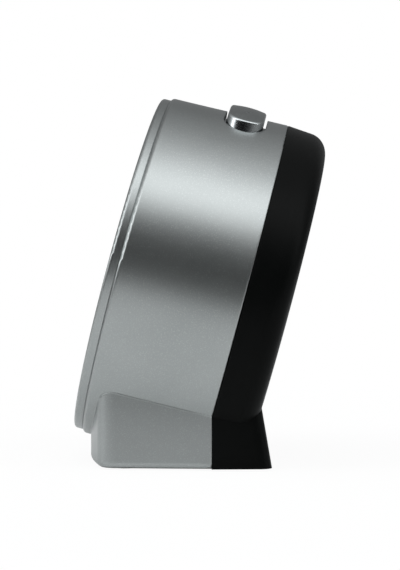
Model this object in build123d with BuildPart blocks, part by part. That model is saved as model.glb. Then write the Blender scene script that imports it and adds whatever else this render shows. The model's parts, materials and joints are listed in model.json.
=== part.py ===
from build123d import *
from math import cos, radians, sin, sqrt, tan
import os

# A bedside quartz alarm clock: a short drum that leans back on a foot.
# +Z is up, the dial faces -Y and the table is at z = 0. Millimetres and degrees.
# Along the drum, "a" is the distance in front of the drum's centre.

# The drum and its place
tilt = 15.0             # the dial leans back by this much
axis_y = -0.77
drum_radius = 54.0      # outside, at the seam
base_cut = 0.7          # a full drum would reach this far below the table
front_depth = 36.25     # seam to the front edge
front_draft = 1.57
seam_at = -14.35
rear_depth = 13.15      # seam to the flat back
rear_draft = 4.1
rear_round = 6.0
wall = 2.0
edge_break = 0.35       # small rounding where the two case halves meet

# The foot
foot_front = -33.1      # y of the bowed front face in the middle
foot_bow = 150.0
foot_half = 40.65       # half width at its seam
foot_seam_y = 3.83
foot_draft = 3.0
foot_corner = 6.0
foot_back_y = 21.1      # y of the sloping back face at the table
foot_slope = 9.7
foot_back_corner = 4.0
foot_under_round = 1.8
foot_lift = 0.4         # the case clears the table by this much
floor_wall = 2.0
foot_front_limit = 19.5  # the foot never passes this along the drum

# Bezel, lens, dial
bezel_step = 0.81       # the bezel is this much smaller than the drum's front edge
bezel_lip = 2.85        # stands out in front of the drum
bezel_rim = 5.6         # width of the rim round the opening
bezel_skirt = 1.5
lens_thick = 1.5
dial_gap = 6.25         # lens to dial
dial_thick = 0.8
web_thick = 1.5         # the wall of the front case that carries the dial
dial_ring_slope = 3.2   # how far the ring round the dial leans in

# Clearances
running = 0.08          # radial, a shaft in its bore
seat_gap = 0.1          # radial, a piece dropped into a seat
panel_gap = 0.25        # round the battery door

# Snooze bar
bar_centre = -1.66
bar_width = 11.05
bar_half = 26.5
bar_proud = 2.6
bar_crown = 0.75
bar_wall = 1.6
bar_round = 0.8
bar_gap_side = 0.82
bar_gap_end = 0.4
bar_flange = 1.5
bar_travel = 1.5
bar_post_x = 17.0
bar_post_radius = 1.8
shelf_below = 14.0      # underside of the bracket's shelf, in from the drum's outside
shelf_thick = 1.5
shelf_half = 23.0
board_thick = 1.0
spring_radius = 2.9
spring_wire = 0.45
spring_turns = 4

# Movement
move_half = 28.0
move_front_wall = 1.2
move_depth = 17.0
pillar_inset = 3.4      # the four movement screws, in from the housing's sides
pillar_radius = 2.5     # wide enough to run into the housing's walls
addendum = 0.9
dedendum = 1.25
root_share = 0.23
tip_share = 0.10

# Back
bay_half = 27.2         # battery bay, inside
bay_low = -34.5
bay_high = -4.7
bay_depth = 16.5
bay_wall = 1.5
door_ledge = 1.0
door_thick = 1.6
cell_radius = 7.1
cell_length = 49.2
knob_radius = 6.6
knob_thick = 4.3
recess_depth = 5.4
recess_half = 24.0
recess_tall = 19.0
switch_travel = 3.0
case_screw_inset = 13.1  # in from the drum's outside at the seam
case_screw_angles = (-27.7, 35.0)
boss_radius = 3.4
screw_radius = 1.3
screw_head = 2.7
sounder_inset = 18.0
sounder_radius = 8.0
pad_radius = 4.5
pad_thick = 1.4
lead_radius = 0.45
tab_thick = 0.4

axis_height = drum_radius - base_cut
face = Plane(
    origin=(0, axis_y, axis_height),
    x_dir=(1, 0, 0),
    z_dir=(0, -cos(radians(tilt)), sin(radians(tilt))),
)
drum_axis = Axis(face.origin, face.z_dir)
section = Plane(origin=face.origin, x_dir=face.z_dir, z_dir=(-1, 0, 0))
above = Plane(origin=face.origin, x_dir=face.z_dir, z_dir=face.y_dir)

front_edge = seam_at + front_depth
back_at = seam_at - rear_depth
bezel_front = front_edge + bezel_lip
lens_front = bezel_front - bezel_skirt
lens_back = lens_front - lens_thick
dial_front = lens_back - dial_gap
dial_back = dial_front - dial_thick
web_back = dial_back - web_thick
chamber_radius = drum_radius - front_depth * tan(radians(front_draft)) - wall - seat_gap


def drum_outside(a):
    """Radius of the front case's outer face at a."""
    return drum_radius - (a - seam_at) * tan(radians(front_draft))


bezel_radius = drum_outside(front_edge) - bezel_step
bezel_opening = bezel_radius - bezel_rim
dial_ring_inner = bezel_opening - dial_ring_slope
shelf_up = drum_radius - shelf_below
sounder_up = drum_radius - sounder_inset


def cover_outside(a):
    """Radius of the rear cover's outer face at a."""
    return drum_radius - (seam_at - a) * tan(radians(rear_draft))


def turned(points, mode=Mode.ADD, plane=section, axis=drum_axis):
    """Turn an outline of (along, radius, rounding) points about the drum's axis."""
    with BuildSketch(plane) as outline:
        with BuildLine():
            FilletPolyline(
                *[(a, r) for a, r, rounding in points],
                radius=[rounding for a, r, rounding in points],
                close=True,
            )
        make_face()
    revolve(outline.sketch, axis=axis, mode=mode)


def ring(inner, outer, low, high, mode=Mode.ADD):
    """A ring on the drum's axis, or a disc where inner is 0."""
    with BuildSketch(face.offset(low)) as flat:
        Circle(outer)
        if inner:
            Circle(inner, mode=Mode.SUBTRACT)
    extrude(flat.sketch, amount=high - low, mode=mode)


def column(places, radius, low, high, mode=Mode.ADD, plane=face):
    """A round pin, or a hole, at each place."""
    with BuildSketch(plane.offset(low)) as disc:
        with Locations(*places):
            Circle(radius)
    extrude(disc.sketch, amount=high - low, mode=mode)


def block(place, size, low, high, corner=0.0, mode=Mode.ADD, plane=face):
    """A box with rounded upright edges."""
    with BuildSketch(plane.offset(low)) as plan:
        with Locations(place):
            if corner:
                RectangleRounded(*size, corner)
            else:
                Rectangle(*size)
    extrude(plan.sketch, amount=high - low, mode=mode)


def gear(place, teeth, module, tooth_at, low, high):
    """Straight-sided teeth, one of them at the angle tooth_at."""
    pitch = teeth * module / 2
    corners = (
        (pitch - dedendum * module, -root_share),
        (pitch + addendum * module, -tip_share),
        (pitch + addendum * module, tip_share),
        (pitch - dedendum * module, root_share),
    )
    outline = []
    for tooth in range(teeth):
        for radius, share in corners:
            angle = radians(tooth_at + (tooth + share) * 360 / teeth)
            outline.append((place[0] + radius * cos(angle), place[1] + radius * sin(angle)))
    with BuildSketch(face.offset(low)) as wheel:
        with BuildLine():
            Polyline(*outline, close=True)
        make_face()
    extrude(wheel.sketch, amount=high - low)


def polar(distance, angle, start=(0.0, 0.0)):
    """The place at a distance and angle from start, seen from the front."""
    return (start[0] + distance * cos(radians(angle)), start[1] + distance * sin(radians(angle)))


def gap_towards(angle, teeth):
    """tooth_at of a wheel that has a gap, not a tooth, at this angle."""
    return angle + 180 / teeth


def save(piece, name):
    """Label a finished piece and write it."""
    piece.label = name
    export_step(piece, f"parts/{name}.step")


os.makedirs("parts", exist_ok=True)


# Case halves
def foot_block(inset, bottom, front_limit):
    """The foot as a solid, its walls moved in by inset, from bottom up into the drum."""
    half = foot_half - inset
    taper = tan(radians(foot_draft))
    front_y = foot_front + inset
    side_front = half - taper * (foot_seam_y - front_y)
    bow = foot_bow - sqrt(foot_bow**2 - side_front**2)
    back_y = foot_back_y + wall
    side_back = half - taper * (back_y - foot_seam_y)
    height = axis_height / 2
    with BuildPart() as foot:
        with BuildSketch(Plane.XY.offset(bottom)) as plan:
            with BuildLine():
                ThreePointArc(
                    (-side_front, front_y + bow), (0, front_y), (side_front, front_y + bow)
                )
                Polyline(
                    (side_front, front_y + bow),
                    (half, foot_seam_y),
                    (side_back, back_y),
                    (-side_back, back_y),
                    (-half, foot_seam_y),
                    (-side_front, front_y + bow),
                )
            make_face()
            fillet(plan.vertices().group_by(Axis.Y)[0], foot_corner - inset)
        extrude(amount=height - bottom)
        slope = Plane(
            origin=(0, foot_back_y - inset / cos(radians(foot_slope)), foot_lift),
            x_dir=(1, 0, 0),
            z_dir=(0, cos(radians(foot_slope)), sin(radians(foot_slope))),
        )
        split(bisect_by=slope, keep=Keep.BOTTOM)
        back_face = foot.faces().sort_by(Axis.Y)[-1]
        corners = back_face.edges().sort_by(Axis.X)
        fillet([corners[0], corners[-1]], foot_back_corner - inset / 2)
        split(bisect_by=face.offset(front_limit), keep=Keep.BOTTOM)
    return foot.part


kink_up = (foot_seam_y - axis_y + seam_at * cos(radians(tilt))) / sin(radians(tilt))
kink = (foot_seam_y, axis_height + seam_at * sin(radians(tilt)) + kink_up * cos(radians(tilt)))
far = 4 * drum_radius


def rear_side(shift=0.0):
    """Everything behind the seam: a tilted plane that turns upright inside the foot."""
    with BuildPart() as behind:
        with BuildSketch(Plane.YZ) as side:
            with BuildLine():
                Polyline(
                    (kink[0] + shift, -far),
                    (kink[0] + shift, kink[1]),
                    (kink[0] + shift + far * sin(radians(tilt)), kink[1] + far * cos(radians(tilt))),
                    (far, far),
                    (far, -far),
                    close=True,
                )
            make_face()
        extrude(amount=far, both=True)
    return behind.part


with BuildPart() as cavity:
    turned(
        [
            (web_back, 0, 0),
            (web_back, drum_outside(web_back) - wall, 0),
            (seam_at, drum_radius - wall, 0),
            (back_at + wall, cover_outside(back_at) - wall, rear_round - wall),
            (back_at + wall, 0, 0),
        ]
    )
    add(foot_block(wall, foot_lift + floor_wall, web_back))
    split(bisect_by=Plane.XY.offset(foot_lift + floor_wall), keep=Keep.TOP)

# Bosses that the case screws pull together
screw_circle = drum_radius - case_screw_inset
screw_places = [polar(screw_circle, angle) for angle in case_screw_angles]
screw_places += [polar(screw_circle, 180 - angle) for angle in case_screw_angles]
boss_end = seam_at + 3.0
foot_back_reach = 6.0   # the foot stands out behind the flat back by less than this
screw_seat = back_at + 9.0
screw_tip = boss_end + 9.0

# The pads: two under each half of the foot
pad_places = [(-30.0, -21.0), (30.0, -21.0), (-30.0, 13.0), (30.0, 13.0)]

movement_back = web_back - move_depth
bracket_hole_x = 15.0
bracket_hole_up = shelf_up - 4.5
bracket_face = web_back - 3.5
bay_tall = bay_high - bay_low
bay_middle = (0, (bay_low + bay_high) / 2)
bay_floor = back_at + bay_depth
cell_ups = (bay_low + bay_tall / 4, bay_high - bay_tall / 4)
tab_end = bay_floor + bay_wall + 2.0    # the contacts' tabs end here, in front of the bay
tab_wide = 2.4
lead_entries = [(0.5, -18.2), (0.5, -22.0)]   # where the leads go into the movement
pillar = move_half - pillar_inset
move_boss = [(x * pillar, up * pillar) for x in (-1, 1) for up in (-1, 1)]
bar_hole_width = bar_width + 2 * bar_gap_side
bar_hole_half = bar_half + bar_gap_end


def bar_plan(width, half, low, high):
    """A long rounded bar, upright to the drum's axis, from low to high above it."""
    with BuildPart() as bar:
        with BuildSketch(above.offset(low)):
            with Locations((bar_centre, 0)):
                RectangleRounded(width, 2 * half, width / 2 - 0.01)
        extrude(amount=high - low)
    return bar.part


with BuildPart() as front_case:
    turned(
        [
            (seam_at, 0, 0),
            (seam_at, drum_radius, edge_break),
            (front_edge, drum_outside(front_edge), 1.0),
            (front_edge, 0, 0),
        ]
    )
    add(foot_block(0, foot_lift, foot_front_limit))
    split(bisect_by=Plane.XY.offset(foot_lift), keep=Keep.TOP)
    add(rear_side(), mode=Mode.SUBTRACT)
    base_face = front_case.faces().sort_by(Axis.Z)[0]
    fillet(base_face.edges().sort_by(Axis.Y)[0], foot_under_round)
    add(cavity.part, mode=Mode.SUBTRACT)
    ring(0, chamber_radius, dial_back, front_edge, mode=Mode.SUBTRACT)
    # boss for each case screw, its end behind the web
    column(screw_places, boss_radius, boss_end, web_back)
    column(screw_places, screw_radius - 0.2, boss_end, screw_tip + 1, mode=Mode.SUBTRACT)
    # posts for the snooze bracket
    bracket_places = [(-bracket_hole_x, bracket_hole_up), (bracket_hole_x, bracket_hole_up)]
    column(bracket_places, 2.8, bracket_face, web_back)
    column(bracket_places, 0.9, bracket_face, web_back - 0.2, mode=Mode.SUBTRACT)
    # the movement's tube comes through here, and its four screws bite in the web
    column([(0, 0)], 4.3, web_back, dial_back, mode=Mode.SUBTRACT)
    column(move_boss, 0.8, web_back, dial_back, mode=Mode.SUBTRACT)
    # the slot that the snooze bar stands in
    add(bar_plan(bar_hole_width, bar_hole_half, drum_radius / 2 + 8, far), mode=Mode.SUBTRACT)
    # pockets for the rubber pads
    column(pad_places[:2], pad_radius + seat_gap, 0, pad_thick, mode=Mode.SUBTRACT, plane=Plane.XY)
save(front_case.part, "front_case")

with BuildPart() as rear_cover:
    turned(
        [
            (seam_at, 0, 0),
            (seam_at, drum_radius, edge_break),
            (back_at, cover_outside(back_at), rear_round),
            (back_at, 0, 0),
        ]
    )
    add(foot_block(0, foot_lift, foot_front_limit))
    split(bisect_by=Plane.XY.offset(foot_lift), keep=Keep.TOP)
    add(rear_side(), mode=Mode.INTERSECT)
    add(cavity.part, mode=Mode.SUBTRACT)
    # battery bay, open at the back
    block(
        bay_middle,
        (2 * (bay_half + bay_wall), bay_tall + 2 * bay_wall),
        back_at + wall / 2,
        bay_floor + bay_wall,
    )
    block(bay_middle, (2 * bay_half, bay_tall), back_at - 1, bay_floor, mode=Mode.SUBTRACT)
    block(
        bay_middle,
        (2 * (bay_half + door_ledge), bay_tall + 2 * door_ledge),
        back_at - foot_back_reach,
        back_at + door_thick,
        corner=1.5,
        mode=Mode.SUBTRACT,
    )
    for up in cell_ups:
        block(
            (bay_half - tab_thick / 2, up),
            (tab_thick + 0.3, tab_wide + 0.4),
            bay_floor - 1,
            tab_end,
            mode=Mode.SUBTRACT,
        )
    # the recess that the two knobs and the switch sit in
    knob_up = 13.58
    recess_middle = (0, knob_up)
    recess_floor = back_at + recess_depth
    block(
        recess_middle,
        (2 * (recess_half + wall), recess_tall + 2 * wall),
        back_at + wall / 2,
        recess_floor + wall,
        corner=recess_tall / 2 + wall - 0.01,
    )
    block(
        recess_middle,
        (2 * recess_half, recess_tall),
        back_at - 1,
        recess_floor,
        corner=recess_tall / 2 - 0.01,
        mode=Mode.SUBTRACT,
    )
    # posts and deep holes for the case screws
    column(screw_places, boss_radius + 0.9, back_at + wall / 2, boss_end)
    column(screw_places, screw_radius + 0.3, back_at - 1, boss_end + 1, mode=Mode.SUBTRACT)
    column(screw_places, screw_head + 0.3, back_at - 1, screw_seat, mode=Mode.SUBTRACT)
    # sound holes, and the seat of the sounder
    ring_up = (0, sounder_up)
    sound_holes = [ring_up] + [
        polar(2.6 * row, 360 * hole / (6 * row), ring_up)
        for row in (1, 2)
        for hole in range(6 * row)
    ]
    column([ring_up], sounder_radius + 1.2, back_at + wall / 2, back_at + wall + 2.5)
    column([ring_up], sounder_radius + seat_gap, back_at + wall, back_at + wall + 3, mode=Mode.SUBTRACT)
    column(sound_holes, 0.75, back_at - 1, back_at + wall + 1, mode=Mode.SUBTRACT)
    # the arbors and the switch come through the recess
    arbor_x = 13.58
    arbor_radius = 1.5
    column(
        [(-arbor_x, knob_up), (arbor_x, knob_up)],
        arbor_radius + 0.3,
        recess_floor - 1,
        recess_floor + wall + 1,
        mode=Mode.SUBTRACT,
    )
    slider_stem = (2.0, 3.0)
    block(
        recess_middle,
        (slider_stem[0] + 0.4, slider_stem[1] + switch_travel + 0.4),
        recess_floor - 1,
        recess_floor + wall + 1,
        mode=Mode.SUBTRACT,
    )
    column(pad_places[2:], pad_radius + seat_gap, 0, pad_thick, mode=Mode.SUBTRACT, plane=Plane.XY)
save(rear_cover.part, "rear_cover")

with BuildPart() as rubber_pads:
    column(pad_places, pad_radius, 0, pad_thick, plane=Plane.XY)
    chamfer(rubber_pads.faces().filter_by(Plane.XY).group_by(Axis.Z)[0].edges(), 0.3)
save(rubber_pads.part, "rubber_pads")


def screw(places, seat, tip, head_radius, head_tall, shank, towards=1):
    """Pan-head screws with a cross recess; their heads look back."""
    with BuildPart() as screws:
        column(places, head_radius, seat - head_tall, seat)
        chamfer(screws.edges().filter_by(GeomType.CIRCLE).group_by(Axis(face.origin, face.z_dir))[0], 0.3)
        column(places, shank, seat, tip)
        for turn in (45, 135):
            with BuildSketch(face.offset(seat - head_tall)) as slot:
                with Locations(*[Location((x, y), turn) for x, y in places]):
                    Rectangle(head_radius * 1.3, head_radius * 0.28)
            extrude(slot.sketch, amount=head_tall * 0.6, mode=Mode.SUBTRACT)
    return screws.part


save(screw(screw_places, screw_seat, screw_tip, screw_head, 2.0, screw_radius - 0.25), "case_screws")

# Bezel, lens, dial
with BuildPart() as bezel_ring:
    turned(
        [
            (lens_front, bezel_opening, 0),
            (bezel_front, bezel_opening + 0.8, 0.6),
            (bezel_front, bezel_radius, 0.9),
            (front_edge, bezel_radius, 0),
            (front_edge, chamber_radius - seat_gap, 0),
            (lens_back - 2.0, chamber_radius - seat_gap, 0),
            (lens_back - 2.0, chamber_radius - seat_gap - bezel_skirt, 0),
            (lens_front, chamber_radius - seat_gap - bezel_skirt, 0),
        ]
    )
save(bezel_ring.part, "bezel_ring")

skirt_inner = chamber_radius - seat_gap - bezel_skirt
with BuildPart() as lens:
    turned(
        [
            (lens_back, 0, 0),
            (lens_back, skirt_inner - seat_gap, 0),
            (lens_front, skirt_inner - seat_gap, 0),
            (lens_front, 0, 0),
        ]
    )
save(lens.part, "lens")

with BuildPart() as dial_ring:
    turned(
        [
            (dial_front, dial_ring_inner, 0),
            (dial_front + 0.8, dial_ring_inner, 0),
            (lens_back, bezel_opening + 0.2, 0),
            (lens_back, skirt_inner - seat_gap, 0),
            (dial_front, skirt_inner - seat_gap, 0),
        ]
    )
save(dial_ring.part, "dial_ring")

with BuildPart() as dial:
    ring(4.3, chamber_radius - seat_gap, dial_back, dial_front)
save(dial.part, "dial")

# Snooze bar and its switch
crown_radius = drum_outside(bar_centre) + bar_proud
flange_top = drum_outside(bar_centre - bar_width / 2) - wall - 0.5
flange_low = flange_top - 1.2
bar_hollow = crown_radius - 2.2
half_width = bar_width / 2

with BuildPart() as snooze_bar:
    add(bar_plan(bar_width, bar_half, flange_low - 14, crown_radius + 1))
    with BuildSketch(section) as crown:
        with BuildLine():
            Polyline(
                (bar_centre + half_width + 1, crown_radius - bar_crown),
                (bar_centre + half_width + 1, flange_low),
                (bar_centre - half_width - 1, flange_low),
                (bar_centre - half_width - 1, crown_radius - bar_crown),
            )
            ThreePointArc(
                (bar_centre - half_width - 1, crown_radius - bar_crown),
                (bar_centre, crown_radius),
                (bar_centre + half_width + 1, crown_radius - bar_crown),
            )
        make_face()
    revolve(crown.sketch, axis=drum_axis, mode=Mode.INTERSECT)
    top_face = snooze_bar.faces().sort_by(Axis(face.origin, face.y_dir))[-1]
    fillet(top_face.edges(), bar_round)
with BuildPart() as bar_inside:
    add(bar_plan(bar_width - 2 * bar_wall, bar_half - bar_wall, flange_low - 14, far))
    turned(
        [
            (bar_centre - half_width, 1, 0),
            (bar_centre - half_width, bar_hollow, 0),
            (bar_centre + half_width, bar_hollow, 0),
            (bar_centre + half_width, 1, 0),
        ],
        mode=Mode.INTERSECT,
    )
with BuildPart() as bar_rim:
    add(bar_plan(bar_width + 2 * bar_flange, bar_half + bar_flange, flange_low - 14, far))
    turned(
        [
            (bar_centre - bar_width, flange_low, 0),
            (bar_centre - bar_width, flange_top, 0),
            (bar_centre + bar_width, flange_top, 0),
            (bar_centre + bar_width, flange_low, 0),
        ],
        mode=Mode.INTERSECT,
    )
bar_posts = [(bar_centre, -bar_post_x), (bar_centre, bar_post_x)]
board_up = shelf_up + shelf_thick
switch_top = board_up + board_thick + 4.3
with snooze_bar:
    add(bar_rim.part)
    add(bar_inside.part, mode=Mode.SUBTRACT)
    column(bar_posts, bar_post_radius, board_up - 2.5, bar_hollow - 1.0, plane=above)
    column([(bar_centre, 0)], 2.2, switch_top + bar_travel + 0.05, bar_hollow + 0.5, plane=above)
save(snooze_bar.part, "snooze_bar")

spring_low = board_up
spring_high = sqrt(bar_hollow**2 - (bar_post_x + spring_radius) ** 2) - 0.6
with BuildPart() as snooze_springs:
    for across in (-bar_post_x, bar_post_x):
        spring_foot = above.from_local_coords((bar_centre, across, spring_low + spring_wire))
        spring_tall = spring_high - spring_low - 2 * spring_wire
        with BuildLine() as wire_path:
            Helix(spring_tall / spring_turns, spring_tall, spring_radius, spring_foot, above.z_dir)
        with BuildSketch(Plane(origin=wire_path.line @ 0, z_dir=wire_path.line % 0)) as wire_end:
            Circle(spring_wire)
        sweep(wire_end.sketch, path=wire_path.line, is_frenet=True)
save(snooze_springs.part, "snooze_springs")

with BuildPart() as snooze_bracket:
    shelf_front = bracket_face
    shelf_back = bar_centre - half_width - 1.0
    block(
        ((shelf_front + shelf_back) / 2, 0),
        (shelf_front - shelf_back, 2 * shelf_half),
        shelf_up,
        board_up,
        corner=1.5,
        plane=above,
    )
    block(
        (0, (shelf_up + bracket_hole_up - 4) / 2),
        (2 * shelf_half, shelf_up - bracket_hole_up + 4),
        bracket_face - shelf_thick,
        bracket_face,
    )
    column(bar_posts, bar_post_radius + 0.15, shelf_up - 5, board_up + 5, mode=Mode.SUBTRACT, plane=above)
    column(bracket_places, 1.2, bracket_face - 3, bracket_face + 1, mode=Mode.SUBTRACT)
save(snooze_bracket.part, "snooze_bracket")

save(screw(bracket_places, bracket_face - shelf_thick, web_back - 0.6, 2.0, 1.3, 0.8), "bracket_screws")

with BuildPart() as snooze_board:
    block((bar_centre, 0), (10.0, 22.0), board_up, board_up + board_thick, plane=above)
save(snooze_board.part, "snooze_board")

with BuildPart() as snooze_switch:
    block((bar_centre, 0), (6.0, 6.0), board_up + board_thick, board_up + board_thick + 3.5, plane=above)
    column([(bar_centre, 0)], 1.7, board_up + board_thick + 3.5, switch_top, plane=above)
save(snooze_switch.part, "snooze_switch")

# Movement
# Levels along the drum, front to back
move_front = web_back
inside_front = move_front - move_front_wall
inside_back = movement_back + move_front_wall
alarm_level = (inside_front - 1.3, inside_front - 0.5)
hour_level = (inside_front - 2.6, inside_front - 1.9)
motion_level = (inside_front - 4.1, inside_front - 3.4)
plate_level = (inside_front - 5.8, inside_front - 4.8)
centre_level = (inside_front - 7.0, inside_front - 6.4)
third_level = (inside_front - 8.3, inside_front - 7.8)
second_level = (inside_front - 9.6, inside_front - 9.1)
inter_level = (inside_front - 10.9, inside_front - 10.4)
stator_level = (inside_front - 12.6, inside_front - 12.0)
magnet_level = (inside_front - 13.1, inside_front - 11.5)
board_level = (inside_back + 0.3, inside_back + 1.1)

# Modules and arbor places, so that each pair is in mesh
motion_module = 0.4
hour_module = 0.384
alarm_module = 0.6
centre_module = 0.36
third_module = 0.34
second_module = 0.51
rotor_module = 0.3
cannon_teeth = 12
motion_teeth = 36
motion_pinion_teeth = 10
hour_teeth = 40
alarm_teeth = 48
alarm_pinion_teeth = 16
centre_teeth = 60
third_pinion_teeth = 8
third_teeth = 64
second_pinion_teeth = 8
second_teeth = 40
inter_pinion_teeth = 8
inter_teeth = 48
rotor_teeth = 8

motion_angle = 135
motion_at = polar((cannon_teeth + motion_teeth) / 2 * motion_module, motion_angle)
time_at = polar((cannon_teeth + motion_teeth) / 2 * motion_module, motion_angle, motion_at)
alarm_angle = 45
alarm_at = polar((alarm_teeth + alarm_pinion_teeth) / 2 * alarm_module, alarm_angle)
third_angle = 200
third_at = polar((third_teeth + second_pinion_teeth) / 2 * third_module, third_angle)
inter_angle = -60
inter_at = polar((second_teeth + inter_pinion_teeth) / 2 * second_module, inter_angle)
rotor_angle = -10
rotor_at = polar((inter_teeth + rotor_teeth) / 2 * rotor_module, rotor_angle, inter_at)

# Pipes on the centre, inside one another
second_rod = 0.5
cannon_pipe = 1.1
hour_pipe = 1.7
alarm_pipe = 2.3
tube_radius = 3.8
alarm_hand_at = dial_front + 1.0
hour_hand_at = alarm_hand_at + 1.1
minute_hand_at = hour_hand_at + 1.1
second_hand_at = minute_hand_at + 1.1
pivot = 0.45
tube_end = dial_front + 0.4

with BuildPart() as movement_front:
    block((0, 0), (2 * move_half, 2 * move_half), plate_level[0], move_front, corner=3)
    block(
        (0, 0),
        (2 * (move_half - move_front_wall), 2 * (move_half - move_front_wall)),
        plate_level[0],
        inside_front,
        corner=2,
        mode=Mode.SUBTRACT,
    )
    column(move_boss, pillar_radius, plate_level[1], inside_front)
    ring(0, tube_radius, inside_front, tube_end)
    ring(0, alarm_pipe + running, plate_level[0], tube_end, mode=Mode.SUBTRACT)
    column(move_boss, 1.0, plate_level[1], move_front, mode=Mode.SUBTRACT)
    column(
        [time_at, alarm_at],
        arbor_radius - 0.5 + running,
        inside_front - 1,
        move_front - 0.4,
        mode=Mode.SUBTRACT,
    )
save(movement_front.part, "movement_front")

plate_half = move_half - move_front_wall - 0.2
with BuildPart() as movement_plate:
    block((0, 0), (2 * plate_half, 2 * plate_half), *plate_level, corner=2)
    ring(0, cannon_pipe + running, *plate_level, mode=Mode.SUBTRACT)
    column([third_at, inter_at, rotor_at], pivot + running, *plate_level, mode=Mode.SUBTRACT)
    column([time_at, alarm_at], arbor_radius + 0.2, *plate_level, mode=Mode.SUBTRACT)
    column(move_boss, 1.0, *plate_level, mode=Mode.SUBTRACT)
    # the post that the motion wheel turns on
    column([motion_at], 0.6, plate_level[1], hour_level[1] + 0.3)
save(movement_plate.part, "movement_plate")

with BuildPart() as movement_back_shell:
    block((0, 0), (2 * move_half, 2 * move_half), movement_back, plate_level[0], corner=3)
    block(
        (0, 0),
        (2 * (move_half - move_front_wall), 2 * (move_half - move_front_wall)),
        inside_back,
        plate_level[0],
        corner=2,
        mode=Mode.SUBTRACT,
    )
    column(move_boss, pillar_radius, inside_back, plate_level[0])
    column(move_boss, 1.0, movement_back, plate_level[0], mode=Mode.SUBTRACT)
    column([(0, 0), third_at, inter_at, rotor_at], 1.3, inside_back, inside_back + 0.5)
    column([(0, 0)], second_rod + running, movement_back + 0.3, inside_back + 1, mode=Mode.SUBTRACT)
    column(
        [third_at, inter_at, rotor_at],
        pivot + running,
        movement_back + 0.3,
        inside_back + 1,
        mode=Mode.SUBTRACT,
    )
    column([time_at, alarm_at], arbor_radius + running, movement_back, inside_back, mode=Mode.SUBTRACT)
    column(lead_entries, lead_radius + 0.25, movement_back, inside_back, mode=Mode.SUBTRACT)
save(movement_back_shell.part, "movement_rear")

save(screw(move_boss, movement_back, dial_back - 0.3, 1.9, 1.2, 0.75), "movement_screws")

pivot_back = movement_back + 0.5
pivot_front = plate_level[1] - 0.1
centre_tooth = gap_towards(third_angle, centre_teeth)

with BuildPart() as second_wheel:
    ring(0, second_rod, pivot_back, second_hand_at + 0.9)
    gear((0, 0), second_teeth, second_module, gap_towards(inter_angle, second_teeth), *second_level)
    gear((0, 0), second_pinion_teeth, third_module, third_angle, third_level[0] - 0.2, third_level[1] + 0.2)
save(second_wheel.part, "second_wheel")

with BuildPart() as third_wheel:
    column([third_at], pivot, pivot_back, pivot_front)
    third_back = third_angle + 180
    gear(third_at, third_teeth, third_module, gap_towards(third_back, third_teeth), *third_level)
    gear(
        third_at,
        third_pinion_teeth,
        centre_module,
        third_back,
        centre_level[0] - 0.2,
        centre_level[1] + 0.2,
    )
save(third_wheel.part, "third_wheel")

with BuildPart() as intermediate_wheel:
    column([inter_at], pivot, pivot_back, pivot_front)
    gear(
        inter_at,
        inter_pinion_teeth,
        second_module,
        inter_angle + 180,
        second_level[0] - 0.2,
        second_level[1] + 0.2,
    )
    gear(inter_at, inter_teeth, rotor_module, gap_towards(rotor_angle, inter_teeth), *inter_level)
save(intermediate_wheel.part, "intermediate_wheel")

with BuildPart() as rotor:
    column([rotor_at], pivot, pivot_back, pivot_front)
    gear(rotor_at, rotor_teeth, rotor_module, rotor_angle + 180, inter_level[0] - 0.2, inter_level[1] + 0.2)
    column([rotor_at], 2.3, *magnet_level)
save(rotor.part, "rotor")

with BuildPart() as centre_wheel:
    gear((0, 0), centre_teeth, centre_module, centre_tooth, *centre_level)
    ring(0, cannon_pipe + running, *centre_level, mode=Mode.SUBTRACT)
save(centre_wheel.part, "centre_wheel")

with BuildPart() as cannon_pinion:
    ring(0, cannon_pipe, centre_level[0] - 0.2, minute_hand_at + 0.35)
    gear((0, 0), cannon_teeth, motion_module, motion_angle, motion_level[0] - 0.1, motion_level[1] + 0.1)
    ring(0, second_rod + running, centre_level[0] - 1, minute_hand_at + 1, mode=Mode.SUBTRACT)
save(cannon_pinion.part, "cannon_pinion")

with BuildPart() as motion_wheel:
    motion_back = motion_angle + 180
    gear(motion_at, motion_teeth, motion_module, gap_towards(motion_back, motion_teeth), *motion_level)
    gear(motion_at, motion_pinion_teeth, hour_module, motion_back, motion_level[0], hour_level[1] + 0.1)
    column([motion_at], 0.6 + running, motion_level[0] - 1, hour_level[1] + 1, mode=Mode.SUBTRACT)
save(motion_wheel.part, "motion_wheel")

with BuildPart() as hour_wheel:
    gear((0, 0), hour_teeth, hour_module, gap_towards(motion_angle, hour_teeth), *hour_level)
    ring(0, hour_pipe, hour_level[0], hour_hand_at + 0.35)
    ring(0, cannon_pipe + running, hour_level[0] - 1, hour_hand_at + 1, mode=Mode.SUBTRACT)
save(hour_wheel.part, "hour_wheel")

with BuildPart() as alarm_wheel:
    gear((0, 0), alarm_teeth, alarm_module, gap_towards(alarm_angle, alarm_teeth), *alarm_level)
    ring(0, alarm_pipe, alarm_level[0], alarm_hand_at + 0.35)
    ring(0, hour_pipe + running, alarm_level[0] - 1, alarm_hand_at + 1, mode=Mode.SUBTRACT)
save(alarm_wheel.part, "alarm_wheel")


def setting_arbor(at, teeth, module, tooth_at, level):
    """A long arbor with a pinion in front and a flat for its knob behind."""
    low = level[0] - 0.1
    high = level[1] + 0.1
    with BuildPart() as arbor:
        column([at], arbor_radius, recess_floor - knob_thick + 0.9, high + 0.3)
        column([at], arbor_radius - 0.5, high, move_front - 0.5)
        gear(at, teeth, module, tooth_at, low, high)
        block(
            (at[0], at[1] + arbor_radius),
            (4, 1.0),
            recess_floor - knob_thick,
            recess_floor - 0.2,
            mode=Mode.SUBTRACT,
        )
    return arbor.part


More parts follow.
